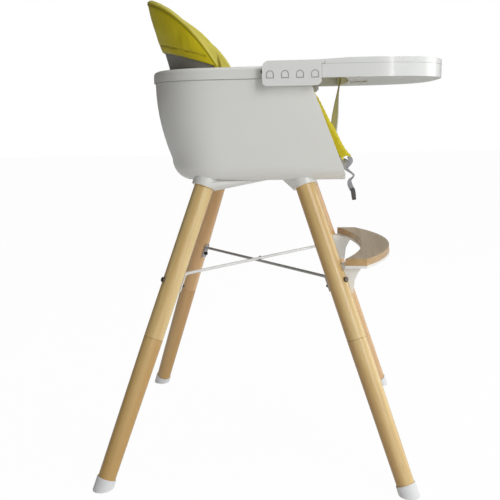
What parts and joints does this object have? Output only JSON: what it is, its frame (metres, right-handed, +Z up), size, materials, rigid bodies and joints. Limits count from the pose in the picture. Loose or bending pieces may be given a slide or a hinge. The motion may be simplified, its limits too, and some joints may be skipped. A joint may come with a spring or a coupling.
{
  "type": "baby high chair",
  "caption": "Bucket-seat high chair on splayed two-part wooden legs, with a sliding round-fronted tray, crescent footrest, crossed brace rods, padded wing back and harness.",
  "frame": {"origin": "on the floor, at the centre of the object's box", "axes": "+X to the chair's front, +Y to the child's left, +Z up"},
  "size_m": [0.6758, 0.6188, 0.938],
  "materials": {
    "shell_plastic": "white, satin gloss",
    "liner_plastic": "grey, satin",
    "leg_wood": "pale oiled beech",
    "cap_plastic": "white",
    "insert_brass": "turned",
    "bright_steel": "zinc plated",
    "dark_steel": "blackened",
    "rod_steel": "light grey coat",
    "board_wood": "varnished beech",
    "bracket_plastic": "white",
    "cushion_cover": "yellow coated cloth, smooth",
    "strap_cover": "olive coated cloth",
    "tray_plastic": "white gloss",
    "insert_plastic": "white gloss",
    "yoke_plastic": "dark grey",
    "buckle_plastic": "dark grey",
    "button_plastic": "dark red",
    "webbing": "light grey woven"
  },
  "bodies": {
    "chair": {"seat_shell": "shell_plastic", "seat_rim": "shell_plastic", "seat_liner": "liner_plastic", "leg_socket_front_left": "shell_plastic", "leg_socket_front_right": "shell_plastic", "leg_socket_rear_left": "shell_plastic", "leg_socket_rear_right": "shell_plastic", "leg_inserts": "insert_brass", "leg_top_bolts": "bright_steel", "shell_screws": "bright_steel", "upper_leg_front_left": "leg_wood", "upper_leg_front_right": "leg_wood", "upper_leg_rear_left": "leg_wood", "upper_leg_rear_right": "leg_wood", "lower_leg_front_left": "leg_wood", "lower_leg_front_right": "leg_wood", "lower_leg_rear_left": "leg_wood", "lower_leg_rear_right": "leg_wood", "foot_cap_front_left": "cap_plastic", "foot_cap_front_right": "cap_plastic", "foot_cap_rear_left": "cap_plastic", "foot_cap_rear_right": "cap_plastic", "leg_joint_studs": "bright_steel", "brace_rod_a": "rod_steel", "brace_rod_b": "rod_steel", "brace_rivet": "dark_steel", "brace_bolts": "dark_steel", "brace_nuts": "dark_steel", "footrest_board": "board_wood", "footrest_bracket": "bracket_plastic", "footrest_screws": "bright_steel", "footrest_bolts": "dark_steel", "cushion_back": "cushion_cover", "cushion_seat": "cushion_cover", "cushion_side_left": "cushion_cover", "cushion_side_right": "cushion_cover", "shoulder_strap_left": "webbing", "shoulder_strap_right": "webbing", "waist_strap_left": "webbing", "waist_strap_right": "webbing", "crotch_strap": "webbing", "buckle_tongues": "buckle_plastic"},
    "tray": {"tray_body": "tray_plastic", "tray_base": "tray_plastic", "tray_base_screws": "bright_steel", "tray_strap": "strap_cover", "strap_anchor": "tray_plastic", "release_springs": "bright_steel"},
    "tray_insert": {"tray_insert": "insert_plastic"},
    "release_yoke": {"release_yoke": "yoke_plastic"},
    "latch_pin_left": {"latch_pin_left": "bright_steel"},
    "latch_pin_right": {"latch_pin_right": "bright_steel"},
    "buckle": {"buckle_strap": "webbing", "buckle_body": "buckle_plastic"},
    "buckle_button": {"buckle_button": "button_plastic"}
  },
  "joints": [
    {"name": "tray_slide", "type": "slide", "parent": "chair", "child": "tray", "axis": [1, 0, 0], "range_m": [-0.0534, 0.0267], "deforming": ["tray_strap"]},
    {"name": "tray_insert_lift", "type": "slide", "parent": "tray", "child": "tray_insert", "axis": [0, 0, 1], "range_m": [0, 0.06]},
    {"name": "release_pull", "type": "slide", "parent": "tray", "child": "release_yoke", "axis": [1, 0, 0], "range_m": [0, 0.01], "stiffness_N_per_m": 400, "springref_m": -0.004, "deforming": ["release_springs"]},
    {"name": "latch_pin_left_slide", "type": "slide", "parent": "tray", "child": "latch_pin_left", "axis": [0, 1, 0], "range_m": [0, 0.0026]},
    {"name": "latch_pin_right_slide", "type": "slide", "parent": "tray", "child": "latch_pin_right", "axis": [0, -1, 0], "range_m": [0, 0.0026]},
    {"name": "buckle_swing", "type": "hinge", "parent": "chair", "child": "buckle", "pos_m": [0.16127, 0, 0.6115], "axis": [0, -1, 0], "range_deg": [0, 60]},
    {"name": "button_press", "type": "slide", "parent": "buckle", "child": "buckle_button", "axis": [-0.9903, 0, -0.1392], "range_m": [0, 0.0022], "stiffness_N_per_m": 500}
  ],
  "couplings": [
    {"joint": "latch_pin_left_slide", "follows": "release_pull", "ratio": 0.25},
    {"joint": "latch_pin_right_slide", "follows": "release_pull", "ratio": 0.25}
  ]
}
